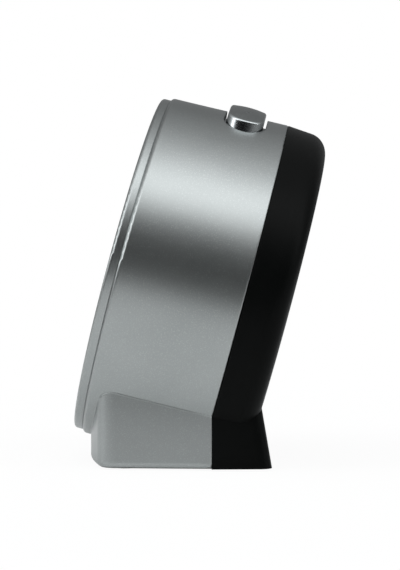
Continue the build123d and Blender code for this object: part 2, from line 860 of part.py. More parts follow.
time_arbor = setting_arbor(time_at, cannon_teeth, motion_module, motion_angle + 180, motion_level)
save(time_arbor, "time_arbor")
alarm_arbor = setting_arbor(
    alarm_at, alarm_pinion_teeth, alarm_module, alarm_angle + 180, alarm_level
)
save(alarm_arbor, "alarm_arbor")


def set_knob(at):
    """A knob with finger ribs; its bore has the arbor's flat."""
    knob_front = recess_floor - 0.3
    with BuildPart() as knob:
        column([at], knob_radius - 0.35, knob_front - knob_thick, knob_front)
        chamfer(
            knob.edges().filter_by(GeomType.CIRCLE).group_by(Axis(face.origin, face.z_dir))[0], 0.6
        )
        with BuildSketch(face.offset(knob_front - knob_thick + 0.8)) as ribs:
            with Locations(at):
                with PolarLocations(knob_radius - 0.35, 30):
                    Circle(0.35)
        extrude(ribs.sketch, amount=knob_thick - 0.8)
        with BuildSketch(face.offset(knob_front - knob_thick + 1.2)) as bore:
            with Locations(at):
                Circle(arbor_radius + 0.02)
            with Locations((at[0], at[1] + arbor_radius)):
                Rectangle(4, 0.96, mode=Mode.SUBTRACT)
        extrude(bore.sketch, amount=knob_thick, mode=Mode.SUBTRACT)
    return knob.part


save(set_knob(time_at), "time_knob")
save(set_knob(alarm_at), "alarm_knob")

# coil, core and stator of the stepping motor
coil_x = 22.3
coil_low = -18.0
coil_high = 4.0
arm_reach = 3.4
with BuildPart() as stator:
    stator_middle = (coil_low + coil_high) / 2
    stator_tall = coil_high - coil_low + 2 * arm_reach
    block((rotor_at[0], stator_middle), (7.2, stator_tall), *stator_level, corner=1)
    arm_middle = (rotor_at[0] + coil_x) / 2 + 0.6
    arm_long = coil_x - rotor_at[0] + 1.2
    for end in (coil_low - arm_reach / 2, coil_high + arm_reach / 2):
        block((arm_middle, end), (arm_long, arm_reach), *stator_level)
    column([rotor_at], 2.3 + 0.35, *stator_level, mode=Mode.SUBTRACT)
save(stator.part, "stator")

with BuildPart() as coil_core:
    block(
        (coil_x, stator_middle),
        (2.2, stator_tall),
        stator_level[1],
        stator_level[1] + 0.8,
    )
save(coil_core.part, "coil_core")

coil_along = Plane(
    origin=face.from_local_coords((coil_x, coil_low, stator_level[1] + 0.4)),
    x_dir=(1, 0, 0),
    z_dir=face.y_dir,
)
with BuildPart() as coil:
    with BuildSketch(coil_along):
        Circle(2.4)
        Rectangle(2.3, 0.9, mode=Mode.SUBTRACT)
    extrude(amount=coil_high - coil_low)
    for end in (0, coil_high - coil_low - 0.8):
        with BuildSketch(coil_along.offset(end)):
            RectangleRounded(6.4, 5.6, 1.0)
            Rectangle(2.3, 0.9, mode=Mode.SUBTRACT)
        extrude(amount=0.8)
save(coil.part, "coil")

board_middle = (-10.0, -20.0)
with BuildPart() as movement_board:
    block(board_middle, (24.0, 8.0), *board_level)
    column([(board_middle[0] - 4, board_middle[1])], 2.4, board_level[1], board_level[1] + 0.9)
save(movement_board.part, "movement_board")

with BuildPart() as quartz_crystal:
    block(
        (board_middle[0] + 6, board_middle[1]),
        (6.0, 2.2),
        board_level[1],
        board_level[1] + 2.0,
        corner=0.9,
    )
save(quartz_crystal.part, "quartz_crystal")

# Hands
hand_thick = 0.35


def hand(level, length, tail, width, tip, hub, bore, angle):
    """A tapered hand on a round hub; angle is from 12 o'clock, to the right."""
    way = 90 - angle
    side = way - 90
    ends = [
        polar(width / 2, side, polar(-tail, way)),
        polar(tip / 2, side, polar(length, way)),
        polar(-tip / 2, side, polar(length, way)),
        polar(-width / 2, side, polar(-tail, way)),
    ]
    with BuildPart() as blade:
        with BuildSketch(face.offset(level)):
            with BuildLine():
                Polyline(*ends, close=True)
            make_face()
            Circle(hub)
            if bore:
                Circle(bore, mode=Mode.SUBTRACT)
        extrude(amount=hand_thick)
    return blade.part


press_gap = 0.01
save(hand(alarm_hand_at, 24.0, 5.0, 1.4, 0.8, 3.4, alarm_pipe + press_gap, -150), "alarm_hand")
save(hand(hour_hand_at, 24.0, 6.0, 3.0, 1.8, 3.0, hour_pipe + press_gap, -55), "hour_hand")
save(hand(minute_hand_at, 36.0, 8.0, 2.4, 1.3, 2.6, cannon_pipe + press_gap, 60), "minute_hand")
save(hand(second_hand_at, 38.0, 12.0, 0.8, 0.4, 2.2, second_rod + press_gap, 150), "second_hand")

# Back: door, cells, contacts, leads, switch
with BuildPart() as battery_door:
    block(
        bay_middle,
        (2 * (bay_half + door_ledge - panel_gap), bay_tall + 2 * (door_ledge - panel_gap)),
        back_at,
        back_at + door_thick,
        corner=1.3,
    )
    # ribs inside, which hold the door in the bay
    block((0, bay_high - 1.0), (14, 1.2), back_at + door_thick, back_at + door_thick + 2.0)
    for across in (-18, 18):
        block((across, bay_low + 1.0), (8, 1.2), back_at + door_thick, back_at + door_thick + 2.0)
    # grip grooves
    for line in range(5):
        block((0, bay_high - 2.5 - 1.6 * line), (16, 0.8), back_at, back_at + 0.5, mode=Mode.SUBTRACT)
save(battery_door.part, "battery_door")

cell_along = Plane(origin=face.origin, x_dir=face.z_dir, z_dir=(-1, 0, 0))
cell_a = bay_floor - cell_radius - 0.3
with BuildPart() as battery_cells:
    for number, up in enumerate(cell_ups):
        turn = 1 if number else -1
        column([(cell_a, up)], cell_radius, -cell_length / 2, cell_length / 2, plane=cell_along)
        column(
            [(cell_a, up)],
            2.6,
            turn * cell_length / 2,
            turn * (cell_length / 2 + 1.2),
            plane=cell_along,
        )
save(battery_cells.part, "battery_cells")


def contact_tab(up):
    """The strip from a contact through the bay's floor, which its lead is soldered to."""
    block((bay_half - tab_thick / 2, up), (tab_thick, tab_wide), cell_a, tab_end)


with BuildPart() as contact_plates:
    for number, up in enumerate(cell_ups):
        turn = 1 if number else -1
        low = turn * (bay_half - tab_thick)
        block((cell_a, up), (9.0, 9.0), low, low + turn * tab_thick, plane=cell_along)
    contact_tab(cell_ups[0])
save(contact_plates.part, "contact_plates")

with BuildPart() as contact_springs:
    for number, up in enumerate(cell_ups):
        turn = -1 if number else 1
        low = turn * (bay_half - tab_thick)
        block((cell_a, up), (9.0, 9.0), low, low + turn * tab_thick, plane=cell_along)
        for step, radius in enumerate((3.6, 3.0, 2.4)):
            start = turn * (bay_half - tab_thick - 0.55 * (step + 1))
            column([(cell_a, up)], radius, start, start + turn * 0.55, plane=cell_along)
    contact_tab(cell_ups[1])
save(contact_springs.part, "contact_springs")


def lead(points, name):
    """A wire from a contact's tab to the movement's board, in arcs as large as its runs allow."""
    places = [face.from_local_coords(point) for point in points]
    runs = [(b - a) for a, b in zip(places, places[1:])]
    bends = []
    for before, after in zip(runs, runs[1:]):
        shorter = min(before.length, after.length)
        bends.append(0.45 * shorter / tan(radians(before.get_angle(after) / 2)))
    print(name, "bend radii", [round(bend, 1) for bend in bends])
    with BuildPart() as wire:
        with BuildLine() as route:
            FilletPolyline(*places, radius=bends)
        with BuildSketch(Plane(origin=route.line @ 0, z_dir=route.line % 0)) as end:
            Circle(lead_radius)
        sweep(end.sketch, path=route.line)
    save(wire.part, name)


lead_level = tab_end - 0.8
tab_face = bay_half - tab_thick
lead(
    [
        (tab_face, cell_ups[1], lead_level),
        (17.0, -14.0, lead_level),
        (7.5, -17.2, lead_level + 0.3),
        (*lead_entries[0], lead_level + 0.5),
        (*lead_entries[0], board_level[0]),
    ],
    "lead_black",
)
lead(
    [
        (tab_face, cell_ups[0], lead_level),
        (17.5, -25.6, lead_level),
        (8.0, -23.4, lead_level + 0.2),
        (*lead_entries[1], lead_level + 0.5),
        (*lead_entries[1], board_level[0]),
    ],
    "lead_red",
)

switch_low = recess_floor + wall
with BuildPart() as alarm_slider:
    rest_up = knob_up - switch_travel / 2
    block((0, rest_up), slider_stem, recess_floor - 0.2, switch_low + 1.4)
    block((0, rest_up), (5.0, 6.0), recess_floor - 2.2, recess_floor - 0.2, corner=0.8)
    for line in (-1.8, 0, 1.8):
        block((0, rest_up + line), (4.0, 0.6), recess_floor - 2.2, recess_floor - 1.8, mode=Mode.SUBTRACT)
save(alarm_slider.part, "alarm_slider")

with BuildPart() as alarm_switch:
    block((0, knob_up), (9.0, 12.0), switch_low, switch_low + 4.5)
    block(
        (0, knob_up),
        (slider_stem[0] + 0.4, slider_stem[1] + switch_travel + 0.4),
        switch_low,
        switch_low + 2.0,
        mode=Mode.SUBTRACT,
    )
save(alarm_switch.part, "alarm_switch")

with BuildPart() as sounder:
    column([ring_up], sounder_radius, back_at + wall, back_at + wall + 2.0)
    column([ring_up], sounder_radius - 2.5, back_at + wall + 2.0, back_at + wall + 3.0)
save(sounder.part, "sounder")
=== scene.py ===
import json
import math
import bmesh
import bpy
from mathutils import Matrix, Vector


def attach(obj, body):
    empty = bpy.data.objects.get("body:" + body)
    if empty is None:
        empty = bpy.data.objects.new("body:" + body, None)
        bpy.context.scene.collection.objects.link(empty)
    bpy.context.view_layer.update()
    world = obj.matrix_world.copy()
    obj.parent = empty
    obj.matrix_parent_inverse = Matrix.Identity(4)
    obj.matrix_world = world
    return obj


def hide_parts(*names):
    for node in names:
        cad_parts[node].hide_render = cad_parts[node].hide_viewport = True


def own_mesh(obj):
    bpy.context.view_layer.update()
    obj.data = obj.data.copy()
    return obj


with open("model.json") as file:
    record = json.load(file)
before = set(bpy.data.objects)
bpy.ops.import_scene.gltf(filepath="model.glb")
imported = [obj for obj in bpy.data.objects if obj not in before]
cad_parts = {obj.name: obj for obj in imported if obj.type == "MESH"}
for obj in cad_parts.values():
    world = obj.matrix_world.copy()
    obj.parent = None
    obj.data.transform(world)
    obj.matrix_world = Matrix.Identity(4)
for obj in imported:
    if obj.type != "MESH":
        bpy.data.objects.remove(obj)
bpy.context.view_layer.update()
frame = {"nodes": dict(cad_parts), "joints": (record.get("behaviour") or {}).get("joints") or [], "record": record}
nodes = frame["nodes"]
print("frame loaded,", len(nodes), "nodes")

mm = 0.001
joints = {joint["name"]: joint for joint in frame["joints"]}

# the drum leans back: its own axes are along it towards the dial, across it and up it
axisAlong = -Vector(joints["second_turn"]["axis"]).normalized()
axisAcross = Vector((1, 0, 0))
axisUp = axisAlong.cross(axisAcross)
drumCentre = Vector(joints["second_turn"]["pos_m"])


def drumPlace(across, up, along):
    # the place of something drawn flat, whose x, y and z lie along these three
    return Matrix.Translation(drumCentre) @ Matrix((across, up, along)).transposed().to_4x4()


dialPlace = drumPlace(axisAcross, axisUp, axisAlong)
backPlace = drumPlace(-axisAcross, axisUp, -axisAlong)


def alongOf(node):
    # how far a node reaches along the drum, lowest and highest, in millimetres
    reach = [(v.co - drumCentre).dot(axisAlong) / mm for v in nodes[node].data.vertices]
    return min(reach), max(reach)


def upOf(mesh):
    # the lowest and highest that a mesh reaches up the drum, in metres from the scene's origin
    heights = [v.co.dot(axisUp) for v in mesh.vertices]
    return min(heights), max(heights)


def plainMesh(source):
    # what an object looks like with its modifiers or bevel, as a mesh; the object itself goes
    bpy.context.scene.collection.objects.link(source)
    mesh = bpy.data.meshes.new_from_object(source.evaluated_get(bpy.context.evaluated_depsgraph_get()))
    source.modifiers.clear()
    bpy.data.objects.remove(source)
    return mesh


def closeMesh(build, name, merge=0.0):
    # a mesh from its faces, with its doubles merged and every face pointing outwards
    if merge:
        bmesh.ops.remove_doubles(build, verts=build.verts, dist=merge)
    bmesh.ops.recalc_face_normals(build, faces=build.faces)
    mesh = bpy.data.meshes.new(name)
    build.to_mesh(mesh)
    build.free()
    return mesh


def settle(name, mesh, place, material, body):
    # the place goes into the mesh, and the piece rides on its body
    mesh.transform(place)
    mesh.materials.clear()
    mesh.materials.append(material)
    piece = bpy.data.objects.new(name, mesh)
    bpy.context.scene.collection.objects.link(piece)
    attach(piece, body)
    return piece


# camera, floor and lights
view = {
    "place": (0.50437, 0.00562, 0.05141),
    "yaw": -0.0110,
    "pitch": 0.0029,
    "lens": 103.23,
    "sensor": 36.0,
    "near": 0.01,
    "far": 20,
}
studio = {
    "floorHalf": 0.34,
    "floorColour": (0.86, 0.865, 0.865),
    "floorRough": 0.8,
    "floorSeen": 0.93,      # share of plain white that the eye sees on the floor
    "floorLift": 0.08,      # glow that the floor adds to what lights the object
    "roomTint": (0.975, 0.99, 1.0),
    "frontLight": 0.6,      # added on the dial's side
    "frontFrom": -0.35,     # the added light begins and is full at these shares of straight ahead
    "frontFull": -0.95,
    "brightest": 2.7,       # the profile's values are shares of this
    "profile": [            # round the room, in degrees from the right-hand horizon up over the top
        (-90, 0.13), (-14, 0.13), (-6, 0.03), (4, 0.0), (26, 0.0), (36, 0.14), (45, 0.80), (54, 1.0),
        (66, 0.95), (76, 0.60), (90, 0.35), (110, 0.185), (144, 0.09), (180, 0.10), (225, 0.13), (270, 0.13),
    ],
}


def makeCamera():
    data = bpy.data.cameras.new("camera")
    data.lens = view["lens"]
    data.sensor_width = view["sensor"]
    data.clip_start = view["near"]
    data.clip_end = view["far"]
    camera = bpy.data.objects.new("camera", data)
    bpy.context.scene.collection.objects.link(camera)
    yaw, pitch = view["yaw"], view["pitch"]
    look = Vector((-math.cos(yaw) * math.cos(pitch), math.sin(yaw) * math.cos(pitch), math.sin(pitch)))
    camera.location = view["place"]
    camera.rotation_euler = look.to_track_quat("-Z", "Y").to_euler()
    bpy.context.scene.camera = camera
    bpy.context.scene.view_settings.view_transform = "Standard"


def newMaterial(name):
    material = bpy.data.materials.new(name)
    material.use_nodes = True
    return material, material.node_tree, material.node_tree.nodes["Principled BSDF"]


def makeWorld():
    # softboxes all round: how bright the room is depends on the angle about the Y axis
    world = bpy.data.worlds.new("studio")
    bpy.context.scene.world = world
    world.use_nodes = True
    tree = world.node_tree
    link = tree.links.new
    room = tree.nodes["Background"]
    coords = tree.nodes.new("ShaderNodeTexCoord")
    split = tree.nodes.new("ShaderNodeSeparateXYZ")
    link(coords.outputs["Generated"], split.inputs[0])
    # the angle is taken from straight up, so that its jump lies straight below
    angle = tree.nodes.new("ShaderNodeMath")
    angle.operation = "ARCTAN2"
    flip = tree.nodes.new("ShaderNodeMath")
    flip.operation = "MULTIPLY"
    flip.inputs[1].default_value = -1
    link(split.outputs["X"], flip.inputs[0])
    link(flip.outputs[0], angle.inputs[0])
    link(split.outputs["Z"], angle.inputs[1])
    share = tree.nodes.new("ShaderNodeMapRange")
    share.inputs["From Min"].default_value = -math.pi
    share.inputs["From Max"].default_value = math.pi
    link(angle.outputs[0], share.inputs["Value"])
    ramp = tree.nodes.new("ShaderNodeValToRGB")
    ramp.color_ramp.interpolation = "EASE"
    stops = ramp.color_ramp.elements
    for number, (degrees, level) in enumerate(studio["profile"]):
        place = (degrees + 90) / 360
        stop = stops[number] if number < 2 else stops.new(place)
        stop.position = place
        stop.color = (*[level * tint for tint in studio["roomTint"]], 1)
    link(share.outputs[0], ramp.inputs[0])
    link(ramp.outputs[0], room.inputs["Color"])
    front = tree.nodes.new("ShaderNodeMapRange")
    front.interpolation_type = "SMOOTHSTEP"
    front.inputs["From Min"].default_value = studio["frontFrom"]
    front.inputs["From Max"].default_value = studio["frontFull"]
    front.inputs["To Min"].default_value = studio["brightest"]
    front.inputs["To Max"].default_value = studio["brightest"] * (1 + studio["frontLight"])
    link(split.outputs["Y"], front.inputs["Value"])
    link(front.outputs[0], room.inputs["Strength"])
    seen = tree.nodes.new("ShaderNodeBackground")
    seen.inputs["Color"].default_value = (1, 1, 1, 1)
    path = tree.nodes.new("ShaderNodeLightPath")
    mix = tree.nodes.new("ShaderNodeMixShader")
    link(path.outputs["Is Camera Ray"], mix.inputs[0])
    link(room.outputs[0], mix.inputs[1])
    link(seen.outputs[0], mix.inputs[2])
    link(mix.outputs[0], tree.nodes["World Output"].inputs["Surface"])


def makeFloor():
    material, tree, shader = newMaterial("paleFloor")
    shader.inputs["Base Color"].default_value = (*studio["floorColour"], 1)
    shader.inputs["Roughness"].default_value = studio["floorRough"]
    shader.inputs["Emission Color"].default_value = (1, 1, 1, 1)
    shader.inputs["Emission Strength"].default_value = studio["floorLift"]
    white = tree.nodes.new("ShaderNodeEmission")
    path = tree.nodes.new("ShaderNodeLightPath")
    share = tree.nodes.new("ShaderNodeMath")
    share.operation = "MULTIPLY"
    share.inputs[1].default_value = studio["floorSeen"]
    mix = tree.nodes.new("ShaderNodeMixShader")
    tree.links.new(path.outputs["Is Camera Ray"], share.inputs[0])
    tree.links.new(share.outputs[0], mix.inputs[0])
    tree.links.new(shader.outputs[0], mix.inputs[1])
    tree.links.new(white.outputs[0], mix.inputs[2])
    tree.links.new(mix.outputs[0], tree.nodes["Material Output"].inputs["Surface"])
    half = studio["floorHalf"]
    mesh = bpy.data.meshes.new("floor")
    corners = [(-half, -half, 0), (half, -half, 0), (half, half, 0), (-half, half, 0)]
    mesh.from_pydata(corners, [], [(0, 1, 2, 3)])
    mesh.materials.append(material)
    panel = bpy.data.objects.new("floor", mesh)
    bpy.context.scene.collection.objects.link(panel)


makeCamera()
makeWorld()
makeFloor()
print("camera and lights in place")


# small helpers for the finishes; every pattern reads Object coordinates, in metres
def grain(tree, scale, detail=3.0, stretch=(1, 1, 1)):
    coords = tree.nodes.new("ShaderNodeTexCoord")
    mapping = tree.nodes.new("ShaderNodeMapping")
    mapping.inputs["Scale"].default_value = stretch
    noise = tree.nodes.new("ShaderNodeTexNoise")
    noise.inputs["Scale"].default_value = scale
    noise.inputs["Detail"].default_value = detail
    tree.links.new(coords.outputs["Object"], mapping.inputs["Vector"])
    tree.links.new(mapping.outputs[0], noise.inputs["Vector"])
    return noise.outputs["Fac"]


def spread(tree, value, low, high, fromLow=0.3, fromHigh=0.7):
    node = tree.nodes.new("ShaderNodeMapRange")
    node.inputs["From Min"].default_value = fromLow
    node.inputs["From Max"].default_value = fromHigh
    node.inputs["To Min"].default_value = low
    node.inputs["To Max"].default_value = high
    tree.links.new(value, node.inputs["Value"])
    return node.outputs[0]


def blendColours(tree, factor, first, second):
    node = tree.nodes.new("ShaderNodeMix")
    node.data_type = "RGBA"
    for socket, colour in ((node.inputs[6], first), (node.inputs[7], second)):
        if isinstance(colour, tuple):
            socket.default_value = (*colour[:3], 1)
        else:
            tree.links.new(colour, socket)
    tree.links.new(factor, node.inputs[0])
    return node.outputs[2]


def bump(tree, shader, height, distance, strength, edge=0.0):
    # a fine relief; edge softens the light on sharp edges and corners by that radius
    node = tree.nodes.new("ShaderNodeBump")
    if edge:
        soft = tree.nodes.new("ShaderNodeBevel")
        soft.samples = 8
        soft.inputs["Radius"].default_value = edge
        tree.links.new(soft.outputs[0], node.inputs["Normal"])
    node.inputs["Distance"].default_value = distance
    node.inputs["Strength"].default_value = strength
    tree.links.new(height, node.inputs["Height"])
    tree.links.new(node.outputs[0], shader.inputs["Normal"])


def setSockets(shader, values):
    for name, value in values.items():
        shader.inputs[name].default_value = value


# what a finish has unless its own values say otherwise
usualLook = {
    "cloud": 60,            # scale of the cloudy variation of colour
    "cloudDetail": 4.0,
    "fine": 2500,           # scale of the fine relief
    "fineDetail": 2.0,
    "stretch": (1, 1, 1),
    "depth": 0.03,          # of the relief, in millimetres
    "bump": 0.15,
    "metal": 0.0,
    "more": {},             # values for other sockets of the shader
}


def finish(name, ownLook):
    # one finish from its values: two colours that a cloudy grain mixes, a roughness range and a fine bump
    look = {**usualLook, **ownLook}
    material, tree, shader = newMaterial(name)
    cloud = grain(tree, look["cloud"], look["cloudDetail"], look["stretch"])
    colour = blendColours(tree, spread(tree, cloud, 0, 1), look["dark"], look["light"])
    tree.links.new(colour, shader.inputs["Base Color"])
    fine = grain(tree, look["fine"], look["fineDetail"], look["stretch"])
    tree.links.new(spread(tree, fine, *look["rough"]), shader.inputs["Roughness"])
    bump(tree, shader, fine, look["depth"] * mm, look["bump"])
    setSockets(shader, {"Metallic": look["metal"], **look["more"]})
    return material


silver = {
    "dark": (0.300, 0.318, 0.316),
    "light": (0.335, 0.352, 0.350),
    "fleck": (0.52, 0.54, 0.54),
    "cloud": 35,
    "flake": 3800,
    "fleckMost": 0.45,          # how far a fleck goes towards its own colour
    "fleckFrom": (0.56, 0.72),  # the flake's pattern shows as flecks between these
    "rough": (0.30, 0.37),
    "depth": 0.02,
    "bump": 0.40,
    "edge": 0.6,                # radius that the light sees on sharp edges, in millimetres
}


def makeSilver():
    # metallic paint: a grey ground with fine bright flake in it
    material, tree, shader = newMaterial("satinSilver")
    cloud = grain(tree, silver["cloud"])
    ground = blendColours(tree, spread(tree, cloud, 0, 1), silver["dark"], silver["light"])
    flake = grain(tree, silver["flake"], 1.0)
    bright = spread(tree, flake, 0, silver["fleckMost"], *silver["fleckFrom"])
    tree.links.new(blendColours(tree, bright, ground, silver["fleck"]), shader.inputs["Base Color"])
    tree.links.new(spread(tree, flake, *silver["rough"]), shader.inputs["Roughness"])
    bump(tree, shader, flake, silver["depth"] * mm, silver["bump"], silver["edge"] * mm)
    setSockets(shader, {"Metallic": 1.0})
    return material


barLook = {
    "top": (0.26, 0.275, 0.275),
    "side": (0.40, 0.42, 0.425),
    "roughTop": (0.29, 0.39),
    "roughSide": 0.21,
    "topFrom": (0.72, 0.84),    # how squarely the surface faces up the drum, from side to top
    "lines": 900,
    "stretch": (0.12, 1, 1),    # the lines run across the drum
    "depth": 0.01,
    "bump": 0.12,
}


def makeBarMetal():
    # satin along the top, polished round the sides
    material, tree, shader = newMaterial("barMetal")
    normal = tree.nodes.new("ShaderNodeNewGeometry")
    dot = tree.nodes.new("ShaderNodeVectorMath")
    dot.operation = "DOT_PRODUCT"
    dot.inputs[1].default_value = axisUp
    tree.links.new(normal.outputs["Normal"], dot.inputs[0])
    top = spread(tree, dot.outputs["Value"], 0, 1, *barLook["topFrom"])
    tree.links.new(blendColours(tree, top, barLook["side"], barLook["top"]), shader.inputs["Base Color"])
    lines = grain(tree, barLook["lines"], stretch=barLook["stretch"])
    rough = tree.nodes.new("ShaderNodeMix")
    rough.inputs[2].default_value = barLook["roughSide"]
    tree.links.new(top, rough.inputs[0])
    tree.links.new(spread(tree, lines, *barLook["roughTop"]), rough.inputs[3])
    tree.links.new(rough.outputs[0], shader.inputs["Roughness"])
    bump(tree, shader, lines, barLook["depth"] * mm, barLook["bump"])
    setSockets(shader, {"Metallic": 1.0})
    return material


lensLook = {
    "sockets": {"Base Color": (0.30, 0.34, 0.34, 1), "Alpha": 0.07, "IOR": 1.49},
    "haze": 90,
    "rough": (0.03, 0.07),
}


def makeLens():
    material, tree, shader = newMaterial("clearLens")
    setSockets(shader, lensLook["sockets"])
    haze = grain(tree, lensLook["haze"], 2.0)
    tree.links.new(spread(tree, haze, *lensLook["rough"]), shader.inputs["Roughness"])
    return material


# the plain finishes, by the record's slots
looks = {
    "black_shell": {
        "dark": (0.0012, 0.0015, 0.0014), "light": (0.0026, 0.0030, 0.0029), "cloud": 40,
        "rough": (0.30, 0.42), "fine": 3200, "bump": 0.10, "more": {"Specular IOR Level": 0.05},
    },
    "dial_white": {
        "dark": (0.80, 0.81, 0.80), "light": (0.86, 0.87, 0.86),
        "rough": (0.55, 0.7), "more": {"Specular IOR Level": 0.2},
    },
    "ring_black": {"dark": (0.012, 0.012, 0.013), "light": (0.02, 0.02, 0.021), "rough": (0.45, 0.6)},
    "hand_black": {"dark": (0.006, 0.006, 0.006), "light": (0.011, 0.011, 0.011), "rough": (0.25, 0.35)},
    "hand_red": {"dark": (0.52, 0.025, 0.015), "light": (0.60, 0.035, 0.02), "rough": (0.25, 0.38)},
    "knob_black": {
        "dark": (0.011, 0.011, 0.012), "light": (0.019, 0.019, 0.02),
        "rough": (0.35, 0.5), "bump": 0.2,
    },
    "rubber_pad": {
        "dark": (0.012, 0.012, 0.012), "light": (0.028, 0.028, 0.028),
        "rough": (0.7, 0.9), "bump": 0.4,
    },
    "steel": {
        "dark": (0.52, 0.53, 0.54), "light": (0.64, 0.65, 0.66), "rough": (0.22, 0.4), "metal": 1.0,
        "stretch": (1, 1, 0.2),
    },
    "spring_steel": {
        "dark": (0.60, 0.60, 0.58), "light": (0.74, 0.73, 0.70),
        "rough": (0.15, 0.28), "metal": 1.0,
    },
    "inner_plastic": {
        "dark": (0.66, 0.65, 0.61), "light": (0.74, 0.73, 0.69), "rough": (0.4, 0.55),
        "more": {"Subsurface Weight": 0.05},
    },
    "gear_plastic": {
        "dark": (0.74, 0.72, 0.67), "light": (0.83, 0.81, 0.76), "rough": (0.3, 0.42),
        "more": {"Subsurface Weight": 0.05},
    },
    "gear_brass": {
        "dark": (0.62, 0.43, 0.16), "light": (0.74, 0.54, 0.22),
        "rough": (0.2, 0.34), "metal": 1.0,
    },
    "board_green": {
        "dark": (0.02, 0.11, 0.045), "light": (0.035, 0.16, 0.065),
        "rough": (0.25, 0.4), "cloud": 400,
    },
    "copper": {
        "dark": (0.50, 0.19, 0.08), "light": (0.68, 0.30, 0.14), "rough": (0.2, 0.35), "metal": 1.0,
        "stretch": (0.2, 1, 6), "cloud": 700,
    },
    "magnet": {"dark": (0.05, 0.05, 0.052), "light": (0.11, 0.11, 0.11), "rough": (0.4, 0.6), "metal": 0.6},
    "switch_black": {
        "dark": (0.016, 0.016, 0.017), "light": (0.028, 0.028, 0.03),
        "rough": (0.45, 0.6), "bump": 0.25,
    },
    "lead_red": {"dark": (0.40, 0.015, 0.012), "light": (0.50, 0.025, 0.02), "rough": (0.4, 0.5)},
    "lead_black": {"dark": (0.010, 0.010, 0.010), "light": (0.017, 0.017, 0.017), "rough": (0.4, 0.5)},
}


cellLook = {
    "sleeve": (0.03, 0.07, 0.16),
    "band": (0.55, 0.56, 0.57),
    "bandFrom": 14.0,       # the band starts this far from the middle, towards the end with the cap
    "blend": 0.15,
    "middleBlend": 0.1,     # between the two cells, whose caps point opposite ways
    "fine": 600,
    "rough": (0.18, 0.26),
    "sockets": {"Metallic": 0.7, "Coat Weight": 0.4, "Coat Roughness": 0.08},
}


def makeCellJacket():
    # a plain sleeve with a pale band at the end with the cap, which lies to the right on the lower cell
    material, tree, shader = newMaterial("cellJacket")
    link = tree.links.new
    coords = tree.nodes.new("ShaderNodeTexCoord")
    split = tree.nodes.new("ShaderNodeSeparateXYZ")
    link(coords.outputs["Object"], split.inputs[0])
    height = tree.nodes.new("ShaderNodeVectorMath")
    height.operation = "DOT_PRODUCT"
    height.inputs[1].default_value = axisUp
    link(coords.outputs["Object"], height.inputs[0])
    middle, half = sum(upOf(nodes["battery_cells"].data)) / 2, cellLook["middleBlend"] * mm
    side = spread(tree, height.outputs["Value"], 1, -1, middle - half, middle + half)
    towards = tree.nodes.new("ShaderNodeMath")
    towards.operation = "MULTIPLY"
    link(split.outputs["X"], towards.inputs[0])
    link(side, towards.inputs[1])
    start, blend = cellLook["bandFrom"] * mm, cellLook["blend"] * mm
    band = spread(tree, towards.outputs[0], 0, 1, start, start + blend)
    link(blendColours(tree, band, cellLook["sleeve"], cellLook["band"]), shader.inputs["Base Color"])
    fine = grain(tree, cellLook["fine"], 2.0)
    link(spread(tree, fine, *cellLook["rough"]), shader.inputs["Roughness"])
    setSockets(shader, cellLook["sockets"])
    return material


materials = {name: finish(name, look) for name, look in looks.items()}
materials["satin_silver"] = makeSilver()
materials["bar_metal"] = makeBarMetal()
materials["clear_lens"] = makeLens()
materials["cell_jacket"] = makeCellJacket()
for entry in frame["record"]["subparts"]:
    piece = nodes[entry["node"]]
    piece.data.materials.clear()
    piece.data.materials.append(materials[entry["material_slot"]])
print("finishes made and given to every node")


# springs under the snooze bar: a copy with its own mesh, riding on the case in place of the original
def makeSprings():
    mesh = nodes["snooze_springs"].data.copy()
    steel = materials["spring_steel"]
    piece = settle("snoozeSpringPair", mesh, Matrix.Identity(4), steel, "case")
    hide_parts("snooze_springs")
    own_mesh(piece)


makeSprings()


# bead: the fine moulded line where the foot's sides run into the drum
bead = {
    "radius": 0.26,
    "fineness": 2,
    "leastBend": 12,        # of the surface, in degrees, that counts as the junction
    "topHeight": 30,        # the junction lies below this
    "outside": 36,          # and further out to the side than this
    "seamFacing": 0.7,      # faces that look back more squarely than this belong to the seam
    "step": 1.2,            # least distance between two points of the path
    "merge": 0.01,
}


def isJunction(edge):
    # a hollow edge low on the outside of the case, where foot and drum meet
    faces = edge.link_faces
    if len(faces) != 2:
        return False
    middle = (edge.verts[0].co + edge.verts[1].co) / 2
    if abs(middle.x) < bead["outside"] * mm or middle.z > bead["topHeight"] * mm:
        return False
    if max(face.normal.y for face in faces) > bead["seamFacing"]:
        return False
    if min(face.normal.x * middle.x for face in faces) < 0:
        return False
    return edge.calc_face_angle_signed(0) < -math.radians(bead["leastBend"])


def junctionChains(node):
    # the junction's edges, followed from end to end on a merged copy of the mesh, back end first
    build = bmesh.new()
    build.from_mesh(nodes[node].data)
    bmesh.ops.remove_doubles(build, verts=build.verts, dist=bead["merge"] * mm)
    left = dict.fromkeys(edge for edge in build.edges if isJunction(edge))    # keeps its order, unlike a set
    chains = []
    while left:
        edge = next(iter(left))
        del left[edge]
        chain = [edge.verts[0], edge.verts[1]]
        for end in (0, -1):
            while True:
                more = [e for e in chain[end].link_edges if e in left]
                if not more:
                    break
                del left[more[0]]
                new = more[0].other_vert(chain[end])
                chain.insert(0, new) if end == 0 else chain.append(new)
        points = [v.co.copy() for v in chain]
        chains.append(points if points[0].y > points[-1].y else points[::-1])
    build.free()
    return chains


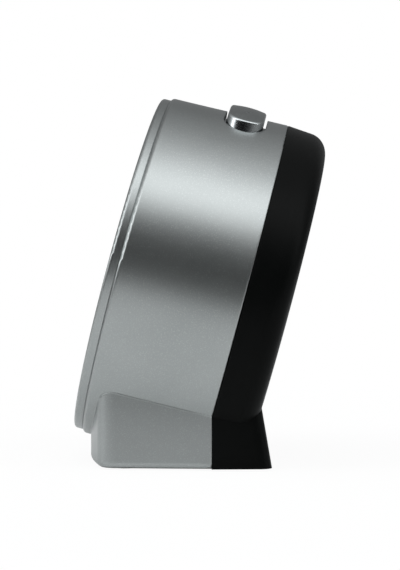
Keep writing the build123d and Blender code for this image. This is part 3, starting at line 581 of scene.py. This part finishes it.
def makeBead(name, path):
    step = bead["step"] * mm
    points = [path[0]]
    for point in path[1:-1]:
        if (point - points[-1]).length > step and (point - path[-1]).length > step:
            points.append(point)
    points.append(path[-1])
    curve = bpy.data.curves.new(name, "CURVE")
    curve.dimensions = "3D"
    curve.bevel_depth = bead["radius"] * mm
    curve.bevel_resolution = bead["fineness"]
    curve.use_fill_caps = True
    line = curve.splines.new("POLY")
    line.points.add(len(points) - 1)
    for place, point in zip(line.points, points):
        place.co = (*point, 1)
    build = bmesh.new()
    build.from_mesh(plainMesh(bpy.data.objects.new(name + "Path", curve)))
    mesh = closeMesh(build, name, bead["merge"] / 2 * mm)
    mesh.shade_smooth()
    settle(name, mesh, Matrix.Identity(4), materials["satin_silver"], "case")


for chain in sorted(junctionChains("front_case"), key=len)[-2:]:
    makeBead("footBeadRight" if chain[0].x > 0 else "footBeadLeft", chain)
print("foot beads laid")


# flat marks: closed prisms drawn in the dial's own axes, x to the right and y up, in millimetres
def markObject(name, prisms, place, material, body):
    build = bmesh.new()
    for outline, low, high in prisms:
        lower = [build.verts.new((x * mm, y * mm, low * mm)) for x, y in outline]
        upper = [build.verts.new((x * mm, y * mm, high * mm)) for x, y in outline]
        build.faces.new(lower[::-1])
        build.faces.new(upper)
        for i in range(len(outline)):
            j = (i + 1) % len(outline)
            build.faces.new((lower[i], lower[j], upper[j], upper[i]))
    settle(name, closeMesh(build, name), place, material, body)


def arcPoints(centre, radius, start, end, steps=24):
    points = []
    for i in range(steps + 1):
        turn = math.radians(start + (end - start) * i / steps)
        points.append((centre[0] + radius * math.cos(turn), centre[1] + radius * math.sin(turn)))
    return points


def arcBand(centre, radius, width, start, end, steps=24):
    outer = arcPoints(centre, radius + width / 2, start, end, steps)
    return outer + arcPoints(centre, radius - width / 2, start, end, steps)[::-1]


def bar(start, end, startWidth, endWidth):
    start, end = Vector(start), Vector(end)
    along = (end - start).normalized()
    across = Vector((-along.y, along.x)) / 2
    near, far = across * startWidth, across * endWidth
    return [tuple(corner) for corner in (start - near, end - far, end + far, start + near)]


# dial: numerals and marks, printed a little proud of it
dialMarks = {
    "numeralSize": 8.6,
    "numeralRadius": 33.0,
    "numeralWeight": 0.12,      # grows the strokes
    "ink": 0.05,                # thickness of the print
    "sunk": 0.02,
    "fineness": 6,
    "merge": 0.002,
    "hourRadius": 40.4,
    "hourLength": 3.2,
    "hourWidth": 1.0,
    "minuteRadius": 41.2,
    "minuteLength": 1.6,
    "minuteWidth": 0.32,
}
dialFront = alongOf("dial")[1]
inkLow = dialFront - dialMarks["sunk"]
inkHigh = dialFront + dialMarks["ink"]
inkMiddle = (inkLow + inkHigh) / 2


def makeNumerals():
    build = bmesh.new()
    for hour in range(1, 13):
        text = bpy.data.curves.new("numeral", "FONT")
        text.body = str(hour)
        text.size = dialMarks["numeralSize"] * mm
        text.align_x = "CENTER"
        text.align_y = "CENTER"
        text.extrude = (inkHigh - inkLow) / 2 * mm
        text.offset = dialMarks["numeralWeight"] * mm
        text.resolution_u = dialMarks["fineness"]
        flat = plainMesh(bpy.data.objects.new("numeral", text))
        wide = [v.co.x for v in flat.vertices]
        tall = [v.co.y for v in flat.vertices]
        turn = math.radians(90 - 30 * hour)
        out = dialMarks["numeralRadius"] * mm
        flat.transform(Matrix.Translation((
            out * math.cos(turn) - (min(wide) + max(wide)) / 2,
            out * math.sin(turn) - (min(tall) + max(tall)) / 2,
            inkMiddle * mm,
        )))
        build.from_mesh(flat)
        bpy.data.meshes.remove(flat)
    mesh = closeMesh(build, "dialNumerals", dialMarks["merge"] * mm)
    settle("dialNumerals", mesh, dialPlace, materials["hand_black"], "case")


def markTree():
    # marks round a circle, kept where their number's remainder by Every is at least Least
    tree = bpy.data.node_groups.new("roundMarks", "GeometryNodeTree")
    socket = tree.interface.new_socket
    socket("Geometry", in_out="OUTPUT", socket_type="NodeSocketGeometry")
    for name, kind in (
        ("Count", "NodeSocketInt"), ("Every", "NodeSocketInt"), ("Least", "NodeSocketInt"),
        ("Radius", "NodeSocketFloat"), ("Length", "NodeSocketFloat"), ("Width", "NodeSocketFloat"),
        ("Height", "NodeSocketFloat"), ("Finish", "NodeSocketMaterial"),
    ):
        socket(name, in_out="INPUT", socket_type=kind)
    new = tree.nodes.new
    link = tree.links.new
    given = new("NodeGroupInput").outputs
    circle = new("GeometryNodeMeshCircle")
    link(given["Count"], circle.inputs["Vertices"])
    link(given["Radius"], circle.inputs["Radius"])
    size = new("ShaderNodeCombineXYZ")
    link(given["Length"], size.inputs["X"])
    link(given["Width"], size.inputs["Y"])
    link(given["Height"], size.inputs["Z"])
    block = new("GeometryNodeMeshCube")
    link(size.outputs[0], block.inputs["Size"])
    where = new("GeometryNodeInputPosition")
    turn = new("FunctionNodeAlignRotationToVector")
    turn.axis = "X"
    turn.pivot_axis = "Z"
    link(where.outputs[0], turn.inputs["Vector"])
    number = new("GeometryNodeInputIndex")
    rest = new("ShaderNodeMath")
    rest.operation = "FLOORED_MODULO"
    link(number.outputs[0], rest.inputs[0])
    link(given["Every"], rest.inputs[1])
    kept = new("FunctionNodeCompare")
    kept.data_type = "FLOAT"
    kept.operation = "GREATER_EQUAL"
    link(rest.outputs[0], kept.inputs[0])
    link(given["Least"], kept.inputs[1])
    placed = new("GeometryNodeInstanceOnPoints")
    link(circle.outputs["Mesh"], placed.inputs["Points"])
    link(kept.outputs[0], placed.inputs["Selection"])
    link(block.outputs["Mesh"], placed.inputs["Instance"])
    link(turn.outputs[0], placed.inputs["Rotation"])
    real = new("GeometryNodeRealizeInstances")
    link(placed.outputs[0], real.inputs[0])
    painted = new("GeometryNodeSetMaterial")
    link(real.outputs[0], painted.inputs["Geometry"])
    link(given["Finish"], painted.inputs["Material"])
    link(painted.outputs[0], new("NodeGroupOutput").inputs[0])
    return tree


def makeMarks(name, tree, values):
    holder = bpy.data.objects.new(name + "Source", bpy.data.meshes.new(name + "Source"))
    modifier = holder.modifiers.new("marks", "NODES")
    modifier.node_group = tree
    for socket in tree.interface.items_tree:
        if socket.in_out == "INPUT" and socket.name in values:
            modifier[socket.identifier] = values[socket.name]
    place = dialPlace @ Matrix.Translation((0, 0, inkMiddle * mm))
    settle(name, plainMesh(holder), place, materials["hand_black"], "case")


makeNumerals()
roundMarks = markTree()
for kind, count, every, least in (("hour", 12, 1, 0), ("minute", 60, 5, 1)):
    makeMarks("dial" + kind.capitalize() + "Marks", roundMarks, {
        "Count": count,
        "Every": every,
        "Least": least,
        "Radius": dialMarks[kind + "Radius"] * mm,
        "Length": dialMarks[kind + "Length"] * mm,
        "Width": dialMarks[kind + "Width"] * mm,
        "Height": (inkHigh - inkLow) * mm,
        "Finish": materials["hand_black"],
    })
print("dial printed")


# hands: a strip of pale paint along each of the two main hands
handPaint = {
    "hour": {"from": 9.0, "to": 21.0, "wide": 1.25, "narrow": 0.85},
    "minute": {"from": 13.0, "to": 32.5, "wide": 1.0, "narrow": 0.6},
    "thick": 0.06,
    "sunk": 0.02,
}


def handWay(node):
    # the way a hand points at rest: towards its farthest point from the drum's axis
    points = [dialPlace.inverted() @ v.co for v in nodes[node].data.vertices]
    return max((Vector((p.x, p.y)) for p in points), key=lambda p: p.length).normalized()


def makePaint(kind, body, material):
    look = handPaint[kind]
    way = handWay(kind + "_hand")
    top = alongOf(kind + "_hand")[1]
    outline = bar(way * look["from"], way * look["to"], look["wide"], look["narrow"])
    prism = (outline, top - handPaint["sunk"], top + handPaint["thick"])
    markObject(kind + "HandPaint", [prism], dialPlace, material, body)


handGlow = finish("handPaint", {
    "dark": (0.55, 0.66, 0.46), "light": (0.62, 0.72, 0.52),
    "cloud": 300, "rough": (0.6, 0.75), "fine": 4000,
})
makePaint("hour", "hours", handGlow)
makePaint("minute", "minutes", handGlow)
print("hands painted")


# back: small printed signs for the two knobs, the switch and the door
backMarks = {
    "thick": 0.05,
    "sunk": 0.02,
    "line": 0.42,
    "signRadius": 2.0,
    "signUp": 27.6,
    "signAcross": 13.58,
    "breakAngle": 5,        # a round sign is left open by this much, in two places
    "handGap": 0.05,        # between the two hands of the clock sign
    "doorArrowUp": -17.4,
    "doorArrow": 3.2,
    "ringUp": 26.4,
    "ringRadius": 0.85,
    "ringLine": 0.294,
}
backFace = -alongOf("battery_door")[0]      # the door lies flush with the back


def backSigns(name, outlines, material, body):
    low, high = backFace - backMarks["sunk"], backFace + backMarks["thick"]
    prisms = [(outline, low, high) for outline in outlines]
    markObject(name, prisms, backPlace, material, body)


def openRing(centre, radius, width, steps=24):
    gap = backMarks["breakAngle"]
    return [arcBand(centre, radius, width, start, start + 180 - gap, steps) for start in (0, 180)]


# the signs' own shapes are shares of their radius
def clockSign(x, y):
    r, line = backMarks["signRadius"], backMarks["line"]
    longHand = bar((x, y - line / 2), (x, y + 0.7 * r), line, line)
    shortHand = bar((x + line / 2 + backMarks["handGap"], y), (x + 0.6 * r, y), line, line)
    return openRing((x, y), r, line) + [longHand, shortHand]


def bellSign(x, y):
    r, line = backMarks["signRadius"], backMarks["line"]
    dome = arcPoints((x, y + 0.35 * r), 0.62 * r, 0, 180, 16)
    left = [(x - 0.68 * r, y - 0.2 * r), (x - 1.0 * r, y - 0.62 * r)]
    right = [(x + 1.0 * r, y - 0.62 * r), (x + 0.68 * r, y - 0.2 * r)]
    clapper = arcPoints((x, y - 0.82 * r), 0.26 * r, 180, 360, 10)
    loop = bar((x, y + 1.05 * r), (x, y + 1.25 * r), line, line)
    return [dome + left + right, clapper, loop]


def makeBackMarks(material):
    across, up = backMarks["signAcross"], backMarks["signUp"]
    ring = openRing((0, backMarks["ringUp"]), backMarks["ringRadius"], backMarks["ringLine"], 12)
    backSigns("backSigns", clockSign(across, up) + bellSign(-across, up) + ring, material, "case")
    size, middle = backMarks["doorArrow"], backMarks["doorArrowUp"]
    arrow = [(0, middle - size * 0.8), (size, middle + size * 0.2), (-size, middle + size * 0.2)]
    backSigns("doorArrow", [arrow], material, "door")


signPaint = finish("signPaint", {
    "dark": (0.42, 0.43, 0.43), "light": (0.52, 0.53, 0.53),
    "cloud": 500, "rough": (0.55, 0.7), "fine": 4000,
})
makeBackMarks(signPaint)
print("back marked")
